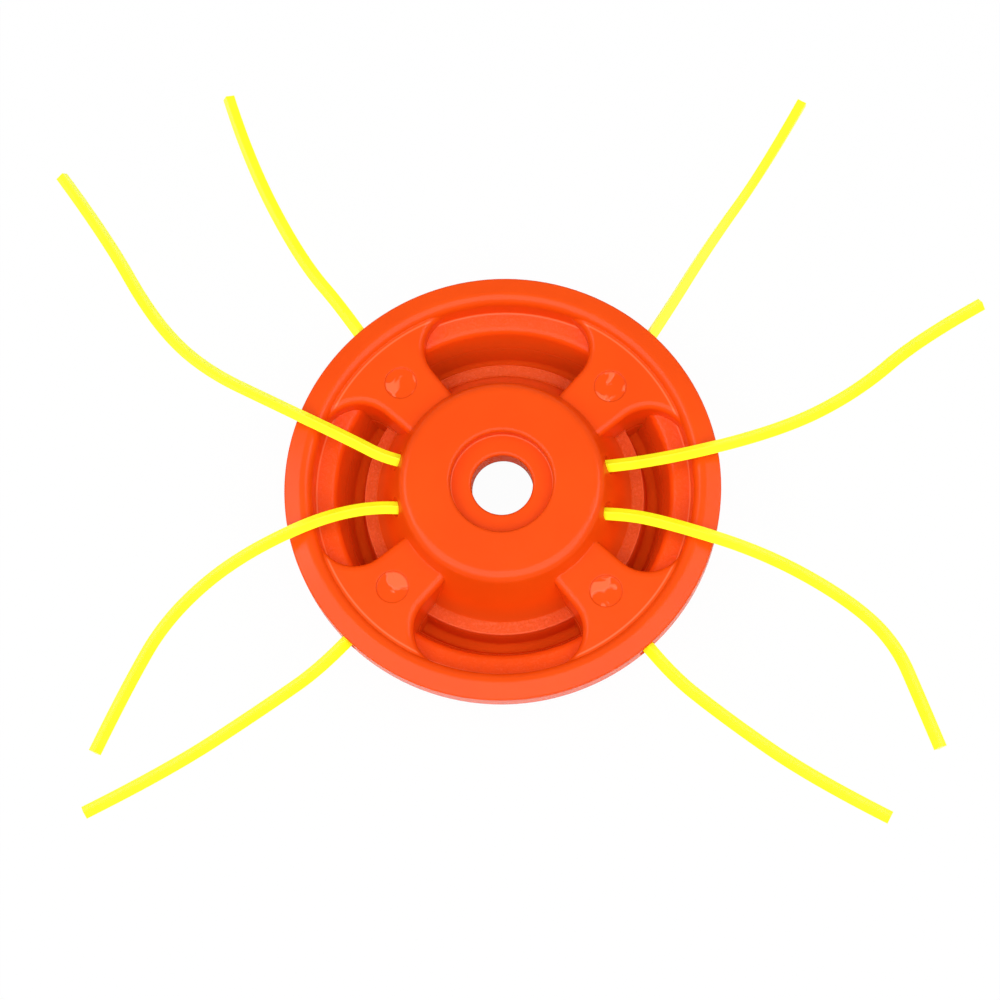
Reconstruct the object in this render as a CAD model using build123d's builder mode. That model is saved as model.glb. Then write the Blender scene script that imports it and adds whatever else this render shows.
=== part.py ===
from build123d import *
from math import cos, radians, sin, tan
import os

os.makedirs("parts", exist_ok=True)

# Multi-line trimmer head in millimetres. The origin is on the spindle axis, on the surface the head
# stands on, with +Z towards the machine. Spokes lie on the diagonals, pockets along X and Y.

# Hub: rounded boss with a leaning wall, pilot recess and bore
head_height = 27.0
hub_foot_radius = 32.0
hub_wall_run = 7.2
hub_edge_round = 2.9
pilot_radius = 12.7
pilot_depth = 3.5
pilot_edge_round = 0.9
bore_radius = 7.6
bore_length = 6.0
bore_edge_round = 0.8

# Pocket, from the hub outwards: step, groove, ledge and wall
step_height = 10.5
step_width = 3.0
step_fillet = 0.6
step_edge_round = 0.4
groove_floor_height = 3.5
groove_floor_width = 2.3
groove_wall_lean = 1.0
groove_fillet = 1.1
ledge_height = 17.4
ledge_fall = 0.6
ledge_wall_run = 3.5
ledge_width = 4.9
ledge_round = 2.0
lip_fillet = 0.6
pocket_wall_run = 0.8

# Rim with its crest and short side wall
rim_width = 6.5
rim_edge_height = 22.7
rim_edge_round = 0.4
rim_crest_rise = 1.6
rim_crest_round = 2.5
rim_wall_height = 5.7
rim_lower_round = 1.0
flange_width = 8.0
flange_drop = 3.8
flange_fillet = 3.0

# Underside: standing ring, bell cavity, boss and hollow spokes
skin = 3.3
foot_round = 1.2
bell_wall = 2.5
bell_mouth_flare = 1.6
bell_neck_height = 8.0
bell_top_wall = 2.7
bell_top_fall = 2.6
bell_fillet = 1.2
crown = 4.2
boss_radius = 11.0
channel_width = 10.0
channel_overlap = 1.5
channel_end_wall = 2.2
channel_end_round = 3.0
spoke_plate = 2.2

# Spokes: flat tops between the pockets, with rounded edges
spoke_count = 4
spoke_first_angle = 45.0
spoke_top_height = 22.2
spoke_half_width = 7.0
spoke_width_radius = 22.0
spoke_flare = 5.0
spoke_draft = 1.5
spoke_edge_round = 1.8
pocket_corner_round = 9.5
pocket_overlap = 0.6
pin_mark_radius = 4.0
pin_mark_depth = 0.3
pin_mark_circle = 37.0

# Lines: square nylon, threaded through holes that slope with them
line_side = 2.4
line_corner_round = 0.3
line_hole_radius = 2.3
hub_hole_offset = 5.9
hub_hole_drop = 5.4
hub_hole_slope = 0.24
hub_hole_half_length = 7.0
exit_angle = 47.5
exit_drop = 2.9
exit_hole_overrun = 2.5
line_lead = 6.0
bight_half_length = 19.5
bight_offset = 15.5
bight_height = 13.6
hub_bight_reach = 13.5
hub_bight_half_width = 6.0
hub_bight_height = 18.8
bend_share = 0.45

# Heights and radii that follow from the sizes above
hub_top_radius = hub_foot_radius - hub_wall_run
pilot_floor_height = head_height - pilot_depth
boss_end_height = pilot_floor_height - bore_length
step_radius = hub_foot_radius + step_width
groove_inner_radius = step_radius + groove_wall_lean
groove_outer_radius = groove_inner_radius + groove_floor_width
ledge_inner_radius = groove_outer_radius + ledge_wall_run
lip_radius = ledge_inner_radius + ledge_width
rim_crest_radius = lip_radius + pocket_wall_run
rim_crest_height = rim_edge_height + rim_crest_rise
rim_radius = rim_crest_radius + rim_width
rim_middle_radius = rim_radius - rim_width / 2
rim_lower_height = rim_edge_height - rim_wall_height
flange_root_radius = rim_radius - flange_width
flange_root_height = rim_lower_height - flange_drop
foot_outer_radius = groove_outer_radius + skin
skin_middle_radius = groove_outer_radius + skin / 2
bell_neck_radius = hub_foot_radius - bell_wall
bell_mouth_radius = bell_neck_radius + bell_mouth_flare
bell_top_radius = hub_top_radius - bell_top_wall
bell_top_height = head_height - crown
boss_root_height = bell_top_height - bell_top_fall
channel_start_radius = bell_top_radius - channel_overlap
channel_end_radius = foot_outer_radius - channel_end_wall
hub_hole_height = head_height - hub_hole_drop
exit_height = rim_edge_height - exit_drop
exit_hole_reach = rim_radius - channel_end_radius + exit_hole_overrun
exit_point = Vector(rim_radius * cos(radians(exit_angle)), rim_radius * sin(radians(exit_angle)), exit_height)
bight_point = Vector(bight_half_length, bight_offset, bight_height)
exit_run = exit_point - bight_point
lead_point = exit_point + exit_run.normalized() * line_lead
spoke_places = PolarLocations(0, spoke_count, start_angle=spoke_first_angle)
pocket_places = PolarLocations(0, spoke_count)


# One pocket, along +X: a wedge between two spokes with rounded corners, drawn at the spoke tops
# and drafted downwards
half_pitch = radians(180 / spoke_count)
side_slope = tan(radians(spoke_flare))
axis_half_width = spoke_half_width - side_slope * spoke_width_radius
end_half_width = axis_half_width + side_slope * rim_radius
wedge_start = axis_half_width / (sin(half_pitch) - side_slope * cos(half_pitch))
wedge_reach = rim_radius * cos(half_pitch) + end_half_width * sin(half_pitch)
wedge_half_width = rim_radius * sin(half_pitch) - end_half_width * cos(half_pitch)
with BuildPart() as pocket:
    with BuildSketch(Plane((0, 0, spoke_top_height), x_dir=(1, 0, 0), z_dir=(0, 0, -1))) as pocket_plan:
        with BuildLine():
            Polyline(
                (wedge_start, 0),
                (wedge_reach, -wedge_half_width),
                (2 * rim_radius, 0),
                (wedge_reach, wedge_half_width),
                close=True,
            )
        make_face()
        Circle(lip_radius + pocket_overlap, mode=Mode.INTERSECT)
        fillet(pocket_plan.vertices(), radius=pocket_corner_round)
    extrude(amount=spoke_top_height, taper=spoke_draft)


# Spokes: a plate inside the skin, cut by the pockets and rounded along their top edges
with BuildPart() as spokes:
    with BuildSketch(Plane.XZ):
        with BuildLine():
            Polyline(
                (0, 0),
                (skin_middle_radius, 0),
                (ledge_inner_radius + ledge_round, flange_root_height),
                (rim_middle_radius, rim_lower_height),
                (rim_middle_radius, spoke_top_height),
                (0, spoke_top_height),
                close=True,
            )
        make_face()
    revolve(axis=Axis.Z)
    with pocket_places:
        add(pocket.part, mode=Mode.SUBTRACT)
    top_edges = spokes.faces().sort_by(Axis.Z)[-1].inner_wires().edges()
    fillet(top_edges, radius=spoke_edge_round)


# Body: the turned section with groove and rim, joined by the spokes and cored from below
with BuildPart() as head_body:
    with BuildSketch(Plane.XZ):
        with BuildLine():
            FilletPolyline(
                (0, 0),
                (0, head_height),
                (hub_top_radius, head_height),
                (hub_foot_radius, step_height),
                (step_radius, step_height),
                (groove_inner_radius, groove_floor_height),
                (groove_outer_radius, groove_floor_height),
                (ledge_inner_radius, ledge_height - ledge_fall),
                (lip_radius, ledge_height),
                (rim_crest_radius, rim_crest_height),
                (rim_radius, rim_edge_height),
                (rim_radius, rim_lower_height),
                (flange_root_radius, flange_root_height),
                (foot_outer_radius, 0),
                radius=[
                    0,
                    0,
                    hub_edge_round,
                    step_fillet,
                    step_edge_round,
                    groove_fillet,
                    groove_fillet,
                    ledge_round,
                    lip_fillet,
                    rim_crest_round,
                    rim_edge_round,
                    rim_lower_round,
                    flange_fillet,
                    foot_round,
                ],
                close=True,
            )
        make_face()
    revolve(axis=Axis.Z)
    add(spokes.part)

    # Bell cavity with the boss left standing in it
    with BuildSketch(Plane.XZ):
        with BuildLine():
            FilletPolyline(
                (0, 0),
                (bell_mouth_radius, 0),
                (bell_neck_radius, bell_neck_height),
                (bell_top_radius, bell_top_height),
                (boss_radius, boss_root_height),
                (boss_radius, boss_end_height),
                (0, boss_end_height),
                radius=[0, 0, bell_fillet, bell_fillet, bell_fillet, 0, 0],
                close=True,
            )
        make_face()
    revolve(axis=Axis.Z, mode=Mode.SUBTRACT)

    # Channels that hollow the spokes
    with BuildSketch(Plane.XY) as channels:
        with spoke_places:
            with Locations((channel_start_radius, 0)):
                Rectangle(
                    channel_end_radius - channel_start_radius,
                    channel_width,
                    align=(Align.MIN, Align.CENTER),
                )
        corners = channels.vertices()
        end_corners = corners.filter_by(lambda corner: Vector(corner).length > channel_end_radius)
        fillet(end_corners, radius=channel_end_round)
    extrude(amount=spoke_top_height - spoke_plate, mode=Mode.SUBTRACT)

    # Bore with its pilot recess
    with Locations((0, 0, head_height)):
        CounterBoreHole(radius=bore_radius, counter_bore_radius=pilot_radius, counter_bore_depth=pilot_depth)
    round_edges = head_body.edges().filter_by(GeomType.CIRCLE)
    pilot_edge = round_edges.filter_by_position(Axis.Z, head_height, head_height).sort_by(SortBy.RADIUS)[0]
    fillet(pilot_edge, radius=pilot_edge_round)
    bore_edge = (
        head_body.edges()
        .filter_by(GeomType.CIRCLE)
        .filter_by_position(Axis.Z, pilot_floor_height, pilot_floor_height)
        .sort_by(SortBy.RADIUS)[0]
    )
    fillet(bore_edge, radius=bore_edge_round)

    # Marks of the ejector pins on the spokes
    with BuildSketch(Plane.XY.offset(spoke_top_height)):
        with PolarLocations(pin_mark_circle, spoke_count, start_angle=spoke_first_angle):
            Circle(pin_mark_radius)
    extrude(amount=-pin_mark_depth, mode=Mode.SUBTRACT)

    # Sloped holes through the hub wall, two on the left and two on the right
    for side in (-1, 1):
        for row in (-1, 1):
            hole_origin = (side * hub_top_radius, row * hub_hole_offset, hub_hole_height)
            with BuildSketch(Plane(hole_origin, z_dir=(side, 0, hub_hole_slope))):
                Circle(line_hole_radius)
            extrude(amount=hub_hole_half_length, both=True, mode=Mode.SUBTRACT)

    # Holes from the hollow spokes out through the rim
    for side in (-1, 1):
        for row in (-1, 1):
            hole_origin = (side * exit_point.X, row * exit_point.Y, exit_point.Z)
            with BuildSketch(Plane(hole_origin, z_dir=(side * exit_run.X, row * exit_run.Y, exit_run.Z))):
                Circle(line_hole_radius)
            extrude(amount=exit_hole_reach, both=True, mode=Mode.SUBTRACT)


# Lines: each one is a square cord along straight runs joined by tangent arcs
def bend_radii(points):
    """Largest tidy arc at each corner of a route, from the shorter of the two runs that meet there."""
    vectors = [Vector(*point) for point in points]
    radii = []
    for before, corner, after in zip(vectors, vectors[1:], vectors[2:]):
        shorter_run = min((corner - before).length, (after - corner).length)
        turn = (corner - before).get_angle(after - corner)
        radii.append(bend_share * shorter_run / tan(radians(turn / 2)))
    return radii


def section_plane(path):
    """Plane across the start of a path, with its x axis level."""
    return Plane(path @ 0, x_dir=Vector(0, 0, 1).cross(path % 0), z_dir=path % 0)


lead_rear_left = (-lead_point.X, lead_point.Y, lead_point.Z)
lead_rear_right = (lead_point.X, lead_point.Y, lead_point.Z)
lead_front_left = (-lead_point.X, -lead_point.Y, lead_point.Z)
lead_front_right = (lead_point.X, -lead_point.Y, lead_point.Z)

left_route = [
    (-113.5, 76.5, 31.5),
    (-101.0, 60.5, 31.4),
    (-88.0, 39.0, 31.0),
    (-75.0, 26.5, 30.3),
    (-56.0, 17.5, 28.6),
    (-31.0, 5.6, 23.1),
    (-hub_bight_reach, hub_bight_half_width, hub_bight_height),
    (-hub_bight_reach, -hub_bight_half_width, hub_bight_height),
    (-36.7, -6.7, 24.4),
    (-62.3, -20.3, 29.4),
    (-79.4, -36.2, 30.6),
    (-88.3, -54.2, 31.2),
    (-95.4, -71.0, 31.4),
]
right_route = [
    (117.3, 45.9, 31.5),
    (101.8, 36.7, 31.3),
    (86.8, 23.0, 30.8),
    (67.8, 12.8, 30.2),
    (34.0, 5.0, 23.9),
    (hub_bight_reach, hub_bight_half_width, hub_bight_height),
    (hub_bight_reach, -hub_bight_half_width, hub_bight_height),
    (37.6, -6.9, 24.6),
    (64.0, -17.1, 29.3),
    (84.0, -28.8, 30.7),
    (95.5, -39.5, 31.2),
    (101.5, -54.0, 31.4),
    (106.6, -65.2, 31.5),
]
rear_route = [
    (-73.0, 101.1, 26.5),
    (-66.8, 83.1, 26.3),
    (-52.4, 56.6, 24.5),
    lead_rear_left,
    (-bight_half_length, bight_offset, bight_height),
    (bight_half_length, bight_offset, bight_height),
    lead_rear_right,
    (50.4, 62.6, 24.8),
    (63.8, 82.8, 26.2),
    (73.7, 101.5, 26.5),
]
front_route = [
    (-98.0, -84.8, 26.6),
    (-78.4, -73.8, 26.3),
    (-56.0, -58.6, 24.8),
    lead_front_left,
    (-bight_half_length, -bight_offset, bight_height),
    (bight_half_length, -bight_offset, bight_height),
    lead_front_right,
    (54.8, -57.7, 24.7),
    (76.3, -71.5, 26.2),
    (94.8, -81.6, 26.5),
]

with BuildPart() as line_left:
    with BuildLine() as left_path:
        FilletPolyline(*left_route, radius=bend_radii(left_route))
    with BuildSketch(section_plane(left_path.line)):
        RectangleRounded(line_side, line_side, line_corner_round, rotation=45)
    sweep()

with BuildPart() as line_right:
    with BuildLine() as right_path:
        FilletPolyline(*right_route, radius=bend_radii(right_route))
    with BuildSketch(section_plane(right_path.line)):
        RectangleRounded(line_side, line_side, line_corner_round, rotation=45)
    sweep()

with BuildPart() as line_rear:
    with BuildLine() as rear_path:
        FilletPolyline(*rear_route, radius=bend_radii(rear_route))
    with BuildSketch(section_plane(rear_path.line)):
        RectangleRounded(line_side, line_side, line_corner_round, rotation=45)
    sweep()

with BuildPart() as line_front:
    with BuildLine() as front_path:
        FilletPolyline(*front_route, radius=bend_radii(front_route))
    with BuildSketch(section_plane(front_path.line)):
        RectangleRounded(line_side, line_side, line_corner_round, rotation=45)
    sweep()

for title, path, route in (
    ("left", left_path, left_route),
    ("right", right_path, right_route),
    ("rear", rear_path, rear_route),
    ("front", front_path, front_route),
):
    bends = [round(bend, 1) for bend in bend_radii(route)]
    print(title, "line length", round(path.wire().length, 1), "bends", bends)

head_body.part.label = "head_body"
line_left.part.label = "line_left"
line_right.part.label = "line_right"
line_rear.part.label = "line_rear"
line_front.part.label = "line_front"

export_step(head_body.part, "parts/head_body.step")
export_step(line_left.part, "parts/line_left.step")
export_step(line_right.part, "parts/line_right.step")
export_step(line_rear.part, "parts/line_rear.step")
export_step(line_front.part, "parts/line_front.step")
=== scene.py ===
import bpy
import math
from mathutils import Matrix, Vector


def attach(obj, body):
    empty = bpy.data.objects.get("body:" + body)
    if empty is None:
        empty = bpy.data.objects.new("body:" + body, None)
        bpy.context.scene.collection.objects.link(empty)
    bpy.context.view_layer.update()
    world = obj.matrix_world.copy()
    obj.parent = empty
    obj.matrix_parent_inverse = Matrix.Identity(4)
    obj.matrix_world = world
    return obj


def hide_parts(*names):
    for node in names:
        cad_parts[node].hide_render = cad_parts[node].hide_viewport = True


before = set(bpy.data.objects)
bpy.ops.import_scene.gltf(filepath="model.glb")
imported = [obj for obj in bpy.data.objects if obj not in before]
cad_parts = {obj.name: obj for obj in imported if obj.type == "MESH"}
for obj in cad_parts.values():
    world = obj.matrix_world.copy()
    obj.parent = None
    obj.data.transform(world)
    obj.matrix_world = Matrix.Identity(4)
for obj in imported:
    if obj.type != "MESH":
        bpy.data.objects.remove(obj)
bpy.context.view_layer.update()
scene = bpy.context.scene
scene.view_settings.view_transform = "Standard"


# Camera, at the photograph's viewing angle: lens and sensor in millimetres, the rest in metres
SENSOR_WIDTH = 36.0
CAMERA_LENS = 102.7
CAMERA_SHIFT = (-0.0013, -0.0195)
CAMERA_CLIP = (0.05, 20.0)
CAMERA_BACK = (0.0491, -0.2659, 0.9627)
CAMERA_RIGHT = (0.9986, 0.0298, -0.0428)
CAMERA_AIM = (0.0, 0.0, 0.027)
CAMERA_DISTANCE = 0.7


def make_camera():
    data = bpy.data.cameras.new("camera")
    data.sensor_width = SENSOR_WIDTH
    data.lens = CAMERA_LENS
    data.shift_x, data.shift_y = CAMERA_SHIFT
    data.clip_start, data.clip_end = CAMERA_CLIP
    camera = bpy.data.objects.new("camera", data)
    scene.collection.objects.link(camera)
    back = Vector(CAMERA_BACK).normalized()
    right = Vector(CAMERA_RIGHT)
    right = (right - back * right.dot(back)).normalized()
    up = back.cross(right)
    place = Vector(CAMERA_AIM) + back * CAMERA_DISTANCE
    turn = Matrix((right, up, back)).transposed().to_4x4()
    camera.matrix_world = Matrix.Translation(place) @ turn
    scene.camera = camera


make_camera()


# Paint colours
PAINT_DEEP = (0.89, 0.073, 0.003, 1)
PAINT_LIGHT = (0.93, 0.081, 0.0035, 1)
# Pale colour for painted highlights on creases, painted glints on the sand, and the marks' partly painted
# sheen
PAINT_PALE_HIGHLIGHT = (1.0, 0.17, 0.06, 1)
# Painted shade: a darker, less saturated orange inside the pockets
PAINT_POCKET_SHADE = (0.78, 0.083, 0.0065, 1)

# Paint finish
PAINT_ROUGHNESS = 0.21
STEP_EXTRA_ROUGHNESS = 0.12
DEEP_EXTRA_ROUGHNESS = 0.4
MARK_EXTRA_ROUGHNESS = -0.06
PAINT_SHINE = 0.21
CREASE_ROUND = 0.0005
CREASE_SAMPLES = 6

# Where the paint changes: lower edge, upper edge and the edges' softness, in metres
NO_LOWER_EDGE = -1.0
STEP_RADII = (0.0319, 0.0352, 0.0003)
STEP_HEIGHTS = (0.0095, 0.0115, 0.0003)
LEDGE_RADII = (0.0424, 0.0466, 0.0006)
LEDGE_HEIGHTS = (0.0158, 0.0180, 0.0003)
# The pockets' painted shade reaches to these radii and heights
POCKET_SHADE_RADII = (NO_LOWER_EDGE, 0.0416, 0.0002)
POCKET_SHADE_HEIGHTS = (NO_LOWER_EDGE, 0.0145, 0.003)
DEEP_HEIGHTS = (0.0, 0.0090, 0.0012)
PIN_PLACE = 0.02616
PIN_RADII = (NO_LOWER_EDGE, 0.0038, 0.0002)
PIN_HEIGHTS = (0.0214, 0.0230, 0.0002)

# Radius and height of the corners where the paint shows a thin pale line, a painted highlight
HIGHLIGHT_CREASES = ((0.0466, 0.0223), (0.0465, 0.0172), (0.0350, 0.0104), (0.0127, 0.0236))
CREASE_HALF_WIDTH = 0.00022
CREASE_HALF_HEIGHT = 0.0004
CREASE_WIDTH_SOFT = 0.0001
CREASE_HEIGHT_SOFT = 0.0002

# Share of pale colour, and strength of the sandy relief, in each place: the pale is painted glints on the
# sand, painted highlights on the creases, and pooled paint with painted sheen on the marks
STEP_GLINTS = 0.42
LEDGE_GLINTS = 0.22
# Pin marks' pale patches: partly pooled paint, partly painted sheen
MARK_PALE_AND_SHEEN = 0.85
CREASE_HIGHLIGHT = 0.85
STEP_GRIT = 0.9
LEDGE_GRIT = 0.3

# Line colours and finish
LINE_DEEP = (0.86, 0.88, 0.006, 1)
LINE_LIGHT = (0.97, 0.97, 0.016, 1)
# Painted glow: the line gives out light of its own, for its fluorescence
LINE_GLOW = (0.9, 1.0, 0.01, 1)
LINE_GLOW_STRENGTH = 0.26
LINE_ROUGHNESS = 0.32

# Noise patterns, and the noise values between which each one turns from none to full
PAINT_CLOUD = {"Scale": 45.0, "Detail": 3.0, "Roughness": 0.55}
PAINT_CLOUD_EDGES = (0.35, 0.65)
PAINT_PEEL = {"Scale": 420.0, "Detail": 2.0, "Roughness": 0.5}
PAINT_GRAIN = {"Scale": 1500.0, "Detail": 3.0, "Roughness": 0.7}
GLINT_EDGES = (0.5, 0.72)
MARK_PATCHES = {"Scale": 190.0, "Detail": 2.0, "Roughness": 0.5, "Distortion": 0.6}
PATCH_EDGES = (0.5, 0.58)
LINE_CLOUD = {"Scale": 160.0, "Detail": 2.0, "Roughness": 0.5}
LINE_CLOUD_EDGES = (0.3, 0.7)
LINE_SCUFF = {"Scale": 260.0, "Detail": 1.0, "Roughness": 0.5}

# Relief in shading, with its depth in metres
PEEL_RELIEF = {"Strength": 0.1, "Distance": 0.0002}
SAND_RELIEF = {"Distance": 0.0004}
MARK_RELIEF = {"Strength": 0.5, "Distance": 0.0003}
LINE_RELIEF = {"Strength": 0.03, "Distance": 0.0002}


# Shader nodes
def new_material(name):
    material = bpy.data.materials.new(name)
    material.use_nodes = True
    tree = material.node_tree
    shader = tree.nodes["Principled BSDF"]
    return material, tree, shader


def node(tree, kind, **inputs):
    made = tree.nodes.new(kind)
    for key, value in inputs.items():
        made.inputs[key.replace("_", " ")].default_value = value
    return made


def math_node(tree, operation, first, second=None, third=None):
    made = tree.nodes.new("ShaderNodeMath")
    made.operation = operation
    for index, value in enumerate((first, second, third)):
        if value is None:
            continue
        if isinstance(value, (int, float)):
            made.inputs[index].default_value = value
        else:
            tree.links.new(value, made.inputs[index])
    return made.outputs[0]


def product(tree, first, second):
    return math_node(tree, "MULTIPLY", first, second)


def larger(tree, first, second):
    return math_node(tree, "MAXIMUM", first, second)


def flat_distance(tree, across, along):
    squares = math_node(tree, "ADD", product(tree, across, across), product(tree, along, along))
    return math_node(tree, "SQRT", squares)


def slope(tree, value, low, high, start=0.0, end=1.0, kind="SMOOTHSTEP"):
    """From start at low to end at high, and level beyond them."""
    made = node(tree, "ShaderNodeMapRange", From_Min=low, From_Max=high, To_Min=start, To_Max=end)
    made.interpolation_type = kind
    tree.links.new(value, made.inputs["Value"])
    return made.outputs[0]


def band(tree, value, low, high, soft):
    """1 where value lies between low and high, with soft ends, and 0 elsewhere."""
    rise = slope(tree, value, low - soft, low + soft)
    fall = slope(tree, value, high - soft, high + soft, start=1.0, end=0.0)
    return product(tree, rise, fall)


def noise(tree, place, **inputs):
    made = node(tree, "ShaderNodeTexNoise", **inputs)
    tree.links.new(place, made.inputs["Vector"])
    return made.outputs["Fac"]


def colour_ramp(tree, value, edges, low_colour, high_colour):
    ramp = tree.nodes.new("ShaderNodeValToRGB")
    for element, edge, colour in zip(ramp.color_ramp.elements, edges, (low_colour, high_colour)):
        element.position = edge
        element.color = colour
    tree.links.new(value, ramp.inputs["Fac"])
    return ramp.outputs["Color"]


def colour_mix(tree, share, colour, other):
    """A colour with a share of another, constant colour mixed in."""
    mix = tree.nodes.new("ShaderNodeMix")
    mix.data_type = "RGBA"
    mix.inputs["B"].default_value = other
    tree.links.new(share, mix.inputs["Factor"])
    tree.links.new(colour, mix.inputs["A"])
    return mix.outputs["Result"]


def bump(tree, height, normal=None, **inputs):
    made = node(tree, "ShaderNodeBump", **inputs)
    tree.links.new(height, made.inputs["Height"])
    if normal is not None:
        tree.links.new(normal, made.inputs["Normal"])
    return made


# Paint
def crease_highlight_lines(tree, radius, height):
    """1 in the thin painted highlight lines along the casting's corners, and 0 away from them."""
    lines = 0.0
    for crease_radius, crease_height in HIGHLIGHT_CREASES:
        inner, outer = crease_radius - CREASE_HALF_WIDTH, crease_radius + CREASE_HALF_WIDTH
        lower, upper = crease_height - CREASE_HALF_HEIGHT, crease_height + CREASE_HALF_HEIGHT
        near = band(tree, radius, inner, outer, CREASE_WIDTH_SOFT)
        level = band(tree, height, lower, upper, CREASE_HEIGHT_SOFT)
        lines = larger(tree, product(tree, near, level), lines)
    return lines


def casting_places(tree, place):
    """Where each kind of painted surface lies on the casting, and where the pockets' painted shade and the
    creases' painted highlights go, from 0 to 1.
    """
    split = tree.nodes.new("ShaderNodeSeparateXYZ")
    tree.links.new(place, split.inputs[0])
    x, y, z = split.outputs
    radius = flat_distance(tree, x, y)
    pin_x = math_node(tree, "SUBTRACT", math_node(tree, "ABSOLUTE", x), PIN_PLACE)
    pin_y = math_node(tree, "SUBTRACT", math_node(tree, "ABSOLUTE", y), PIN_PLACE)
    from_pin = flat_distance(tree, pin_x, pin_y)
    return {
        "step": product(tree, band(tree, radius, *STEP_RADII), band(tree, z, *STEP_HEIGHTS)),
        "ledge": product(tree, band(tree, radius, *LEDGE_RADII), band(tree, z, *LEDGE_HEIGHTS)),
        # Painted shade: the inside of the pockets, below the ledge
        "pocket": product(tree, band(tree, radius, *POCKET_SHADE_RADII), band(tree, z, *POCKET_SHADE_HEIGHTS)),
        "deep": band(tree, z, *DEEP_HEIGHTS),
        "mark": product(tree, band(tree, from_pin, *PIN_RADII), band(tree, z, *PIN_HEIGHTS)),
        # Painted highlights: thin lines along the creases
        "crease_highlight": crease_highlight_lines(tree, radius, z),
    }


def paint_colour(tree, place, places, grain, patches):
    """Uneven orange, painted shade in the pockets, pale on marks (pooled paint with painted sheen), painted
    glints on the sandy step and ledge, and painted highlight lines on the creases.
    """
    cloud = noise(tree, place, **PAINT_CLOUD)
    tint = colour_ramp(tree, cloud, PAINT_CLOUD_EDGES, PAINT_DEEP, PAINT_LIGHT)
    # Painted shade: the pockets' orange turns darker and less saturated
    tint = colour_mix(tree, places["pocket"], tint, PAINT_POCKET_SHADE)
    # Painted glints: pale specks on the sandy step and ledge
    step_glints = product(tree, places["step"], STEP_GLINTS)
    ledge_glints = product(tree, places["ledge"], LEDGE_GLINTS)
    glints = slope(tree, grain, *GLINT_EDGES, kind="LINEAR")
    glints = product(tree, glints, larger(tree, step_glints, ledge_glints))
    # Pin marks: pale patches, partly pooled paint and partly painted sheen, joined with the painted glints
    pale = larger(tree, product(tree, patches, MARK_PALE_AND_SHEEN), glints)
    # Painted highlights: pale lines along the creases
    pale = larger(tree, pale, product(tree, places["crease_highlight"], CREASE_HIGHLIGHT))
    return colour_mix(tree, pale, tint, PAINT_PALE_HIGHLIGHT)


def paint_relief(tree, place, places, grain, patches):
    """Rounded creases, orange peel, sand on the steps and ledges, and the marks' patches."""
    soften = node(tree, "ShaderNodeBevel", Radius=CREASE_ROUND)
    soften.samples = CREASE_SAMPLES
    peel = bump(tree, noise(tree, place, **PAINT_PEEL), soften.outputs["Normal"], **PEEL_RELIEF)
    sand = bump(tree, grain, peel.outputs["Normal"], **SAND_RELIEF)
    step_grit = product(tree, places["step"], STEP_GRIT)
    ledge_grit = product(tree, places["ledge"], LEDGE_GRIT)
    tree.links.new(larger(tree, step_grit, ledge_grit), sand.inputs["Strength"])
    return bump(tree, patches, sand.outputs["Normal"], **MARK_RELIEF).outputs["Normal"]


def paint_material():
    """Semi-gloss orange paint over a casting, duller on the steps and low down."""
    material, tree, shader = new_material("orange_paint")
    place = tree.nodes.new("ShaderNodeTexCoord").outputs["Object"]
    places = casting_places(tree, place)
    grain = noise(tree, place, **PAINT_GRAIN)
    patches = slope(tree, noise(tree, place, **MARK_PATCHES), *PATCH_EDGES)
    patches = product(tree, patches, places["mark"])
    rough = math_node(tree, "MULTIPLY_ADD", places["step"], STEP_EXTRA_ROUGHNESS, PAINT_ROUGHNESS)
    rough = math_node(tree, "MULTIPLY_ADD", places["deep"], DEEP_EXTRA_ROUGHNESS, rough)
    rough = math_node(tree, "MULTIPLY_ADD", places["mark"], MARK_EXTRA_ROUGHNESS, rough)
    shine = math_node(tree, "MULTIPLY_ADD", places["deep"], -PAINT_SHINE, PAINT_SHINE)
    tint = paint_colour(tree, place, places, grain, patches)
    relief = paint_relief(tree, place, places, grain, patches)
    tree.links.new(tint, shader.inputs["Base Color"])
    tree.links.new(rough, shader.inputs["Roughness"])
    tree.links.new(shine, shader.inputs["Specular IOR Level"])
    tree.links.new(relief, shader.inputs["Normal"])
    return material


# Line
def line_material():
    """Fluorescent yellow nylon with a faint unevenness, and a painted glow from its emission."""
    material, tree, shader = new_material("line_nylon")
    place = tree.nodes.new("ShaderNodeTexCoord").outputs["Object"]
    cloud = noise(tree, place, **LINE_CLOUD)
    tint = colour_ramp(tree, cloud, LINE_CLOUD_EDGES, LINE_DEEP, LINE_LIGHT)
    relief = bump(tree, noise(tree, place, **LINE_SCUFF), **LINE_RELIEF)
    tree.links.new(tint, shader.inputs["Base Color"])
    tree.links.new(relief.outputs["Normal"], shader.inputs["Normal"])
    shader.inputs["Roughness"].default_value = LINE_ROUGHNESS
    # Painted glow: emission makes the line shine by itself
    shader.inputs["Emission Color"].default_value = LINE_GLOW
    shader.inputs["Emission Strength"].default_value = LINE_GLOW_STRENGTH
    return material


paint = paint_material()
nylon = line_material()

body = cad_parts["head_body"]
body.data.materials.clear()
body.data.materials.append(paint)


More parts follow.
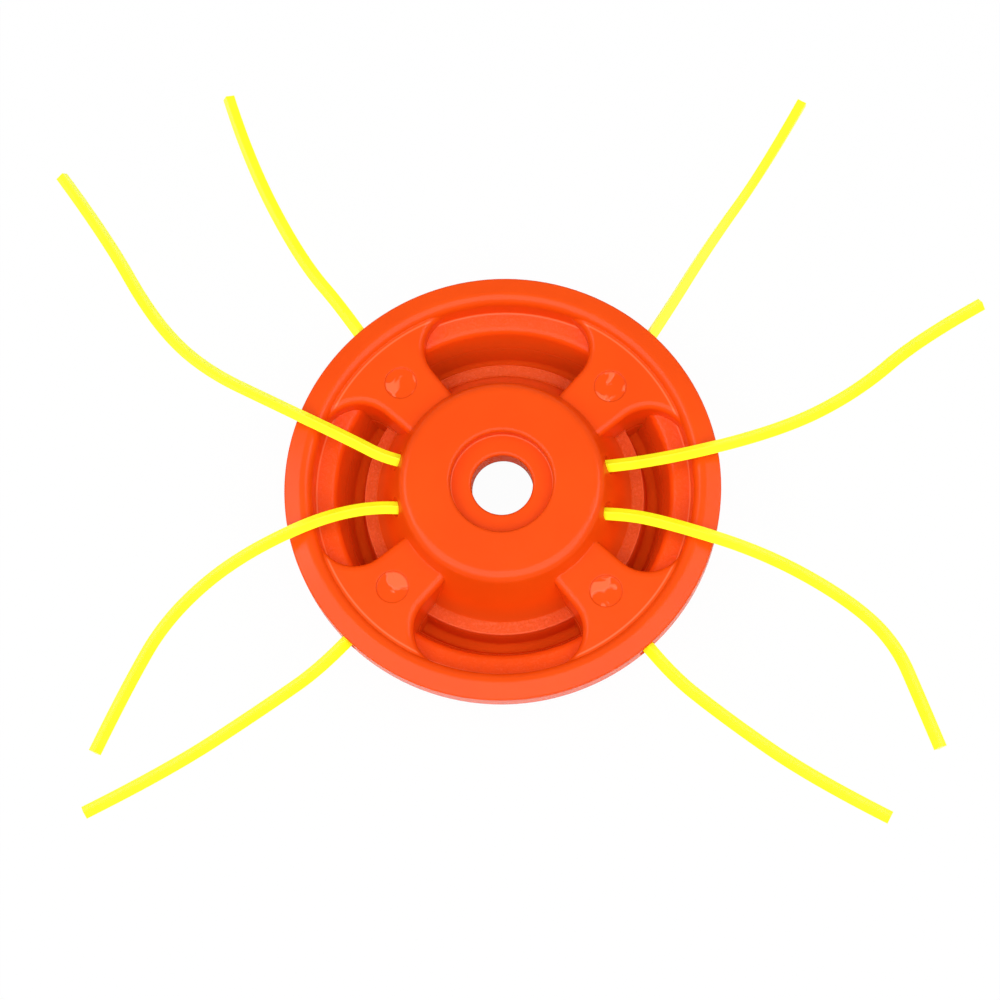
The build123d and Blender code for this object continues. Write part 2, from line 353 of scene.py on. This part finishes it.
# Lines: each half runs from the middle of its bight to a free end, in millimetres.
line_routes = {
    "line_left_a": ("line_left", [
        (-13.5, 0.0, 18.8), (-13.5, 4.6, 18.8), (-28.5, 6.2, 22.4), (-37.0, 10.0, 24.9), (-56.0, 18.0, 28.6),
        (-75.0, 26.5, 30.3), (-88.0, 39.0, 31.0), (-101.0, 60.5, 31.4), (-113.4, 76.5, 31.5),
    ], (-26.0, 5.9, 21.9), -18),
    "line_left_b": ("line_left", [
        (-13.5, 0.0, 18.8), (-13.5, -6.0, 18.8), (-36.7, -6.1, 24.4), (-62.5, -20.0, 29.4),
        (-79.4, -36.2, 30.6), (-88.3, -54.2, 31.2), (-95.0, -70.4, 31.4),
    ], (-26.0, -5.9, 21.9), 0),
    "line_right_a": ("line_right", [
        (13.5, 0.0, 18.8), (13.5, 5.2, 18.8), (36.0, 5.9, 24.3), (67.8, 12.8, 30.2), (86.8, 23.0, 30.8),
        (101.8, 36.7, 31.3), (117.2, 45.9, 31.5),
    ], (26.0, 5.9, 21.9), 0),
    "line_right_b": ("line_right", [
        (13.5, 0.0, 18.8), (13.5, -6.0, 18.8), (29.0, -6.6, 22.4), (40.0, -9.1, 25.0), (64.0, -17.4, 29.3),
        (84.0, -28.8, 30.7), (95.5, -39.5, 31.2), (101.5, -54.0, 31.4), (105.9, -64.8, 31.5),
    ], (26.0, -5.9, 21.9), 0),
    "line_rear_a": ("line_rear", [
        (0.0, 15.5, 13.6), (-19.5, 15.5, 13.6), (-40.2, 44.2, 21.0), (-52.4, 57.2, 24.5), (-66.8, 83.1, 26.3),
        (-72.9, 100.5, 26.5),
    ], (-19.5, 17.0, 14.0), 20),
    "line_rear_b": ("line_rear", [
        (0.0, 15.5, 13.6), (19.5, 15.5, 13.6), (39.3, 44.9, 21.0), (50.1, 62.6, 24.8), (63.8, 82.8, 26.2),
        (73.3, 100.9, 26.5),
    ], (19.5, 17.0, 14.0), 45),
    "line_front_a": ("line_front", [
        (0.0, -15.5, 13.6), (-19.5, -15.5, 13.6), (-40.0, -44.4, 21.0), (-56.5, -58.0, 24.8),
        (-78.4, -73.8, 26.3), (-97.5, -84.2, 26.6),
    ], (-19.5, -17.0, 14.0), 0),
    "line_front_b": ("line_front", [
        (0.0, -15.5, 13.6), (19.5, -15.5, 13.6), (39.9, -44.5, 21.0), (55.2, -57.3, 24.7),
        (76.2, -71.9, 26.2), (94.5, -80.9, 26.5),
    ], (19.5, -17.0, 14.0), 0),
}
MILLIMETRE = 0.001

# The line's section, in metres, and the turn in degrees that stands it on one corner
LINE_SIDE = 0.0024
LINE_CORNER = 0.00022
CORNER_POINTS = 4
HOLLOW_SIDE = 0.965
CORNER_UP = 45
SPLINE_STEPS = 24


def spline_points(name, route):
    """Points along the smooth spline that has the route as its control points."""
    data = bpy.data.curves.new(name + "_spline", "CURVE")
    data.dimensions = "3D"
    data.resolution_u = SPLINE_STEPS
    spline = data.splines.new("NURBS")
    spline.points.add(len(route) - 1)
    for point, place in zip(spline.points, route):
        point.co = (*(value * MILLIMETRE for value in place), 1.0)
    spline.order_u = 3
    spline.use_endpoint_u = True
    holder = bpy.data.objects.new(name + "_spline", data)
    scene.collection.objects.link(holder)
    bpy.context.view_layer.update()
    depsgraph = bpy.context.evaluated_depsgraph_get()
    mesh = bpy.data.meshes.new_from_object(holder.evaluated_get(depsgraph))
    points = [vertex.co.copy() for vertex in mesh.vertices]
    bpy.data.objects.remove(holder)
    bpy.data.meshes.remove(mesh)
    return points


def square_section():
    """A square with rounded corners and slightly hollow sides, as offsets in metres."""
    half = LINE_SIDE / 2
    ring = []
    for quarter in range(4):
        start = 90 * quarter
        quarter_turn = Matrix.Rotation(math.radians(start), 2)
        corner = Vector((half - LINE_CORNER, half - LINE_CORNER))
        corner.rotate(quarter_turn)
        for step in range(CORNER_POINTS):
            turn = math.radians(start + 90 / (CORNER_POINTS - 1) * step)
            ring.append(corner + Vector((math.cos(turn), math.sin(turn))) * LINE_CORNER)
        flat = Vector((0.0, half * HOLLOW_SIDE))
        flat.rotate(quarter_turn)
        ring.append(flat)
    return ring


def make_line(name, node_name, route, end_twist):
    """One half of a line: the square section swept along its spline, twisting towards its free end."""
    path = spline_points(name, route)
    section = square_section()
    verts, faces = [], []
    count = len(section)
    lengths = [0.0]
    for before, after in zip(path, path[1:]):
        lengths.append(lengths[-1] + (after - before).length)
    for index, point in enumerate(path):
        ahead = path[min(index + 1, len(path) - 1)]
        behind = path[max(index - 1, 0)]
        along = (ahead - behind).normalized()
        up = (Vector((0, 0, 1)) - along * along.z).normalized()
        side = along.cross(up)
        share = lengths[index] / lengths[-1]
        angle = math.radians(CORNER_UP + end_twist * share)
        for offset in section:
            x = offset.x * math.cos(angle) - offset.y * math.sin(angle)
            y = offset.x * math.sin(angle) + offset.y * math.cos(angle)
            verts.append(point + side * x + up * y)
    for index in range(len(path) - 1):
        base = index * count
        for step in range(count):
            after = (step + 1) % count
            faces.append((base + step, base + after, base + count + after, base + count + step))
    faces.append(tuple(range(count)))
    faces.append(tuple(reversed(range((len(path) - 1) * count, len(path) * count))))
    mesh = bpy.data.meshes.new(name)
    mesh.from_pydata(verts, [], faces)
    mesh.update()
    mesh.materials.append(nylon)
    piece = bpy.data.objects.new(name, mesh)
    scene.collection.objects.link(piece)
    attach(piece, "root")
    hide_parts(node_name)


for name, (node_name, route, leave, end_twist) in line_routes.items():
    make_line(name, node_name, route, end_twist)


# Floor, plain white to the camera apart from a small share that keeps the shadow
FLOOR_REACH = 3.0
FLOOR_COLOUR = (0.9, 0.9, 0.9, 1)
FLOOR_ROUGHNESS = 0.9
FLOOR_WHITE_SHARE = 0.97


def make_floor():
    mesh = bpy.data.meshes.new("floor")
    corners = [(-1, -1, 0), (1, -1, 0), (1, 1, 0), (-1, 1, 0)]
    mesh.from_pydata([Vector(corner) * FLOOR_REACH for corner in corners], [], [(0, 1, 2, 3)])
    floor = bpy.data.objects.new("floor", mesh)
    scene.collection.objects.link(floor)
    material, tree, shader = new_material("floor_white")
    shader.inputs["Base Color"].default_value = FLOOR_COLOUR
    shader.inputs["Roughness"].default_value = FLOOR_ROUGHNESS
    glow = node(tree, "ShaderNodeEmission", Strength=1.0)
    ray = tree.nodes.new("ShaderNodeLightPath")
    mix = tree.nodes.new("ShaderNodeMixShader")
    tree.links.new(product(tree, ray.outputs["Is Camera Ray"], FLOOR_WHITE_SHARE), mix.inputs["Fac"])
    tree.links.new(shader.outputs[0], mix.inputs[1])
    tree.links.new(glow.outputs[0], mix.inputs[2])
    tree.links.new(mix.outputs[0], tree.nodes["Material Output"].inputs["Surface"])
    mesh.materials.append(material)


make_floor()


# Light, in metres and watts
WORLD_COLOUR = (1, 1, 1, 1)
WORLD_STRENGTH = 0.3
LAMP_AIM = (0, 0, 0.01)


def make_world():
    world = bpy.data.worlds.new("world")
    scene.world = world
    world.use_nodes = True
    sky = world.node_tree.nodes["Background"]
    sky.inputs["Color"].default_value = WORLD_COLOUR
    sky.inputs["Strength"].default_value = WORLD_STRENGTH


def area_light(name, place, size, power):
    data = bpy.data.lights.new(name, "AREA")
    data.shape = "RECTANGLE"
    data.size, data.size_y = size
    data.energy = power
    lamp = bpy.data.objects.new(name, data)
    lamp.location = place
    lamp.rotation_mode = "QUATERNION"
    lamp.rotation_quaternion = (Vector(LAMP_AIM) - Vector(place)).to_track_quat("-Z", "Y")
    scene.collection.objects.link(lamp)


make_world()
area_light("key", place=(0.0, -0.36, 0.97), size=(2.2, 1.06), power=14.4)
area_light("left", place=(-0.72, 0.2, 0.82), size=(0.4, 0.4), power=1.3)
area_light("right", place=(0.72, 0.2, 0.82), size=(0.4, 0.4), power=1.3)
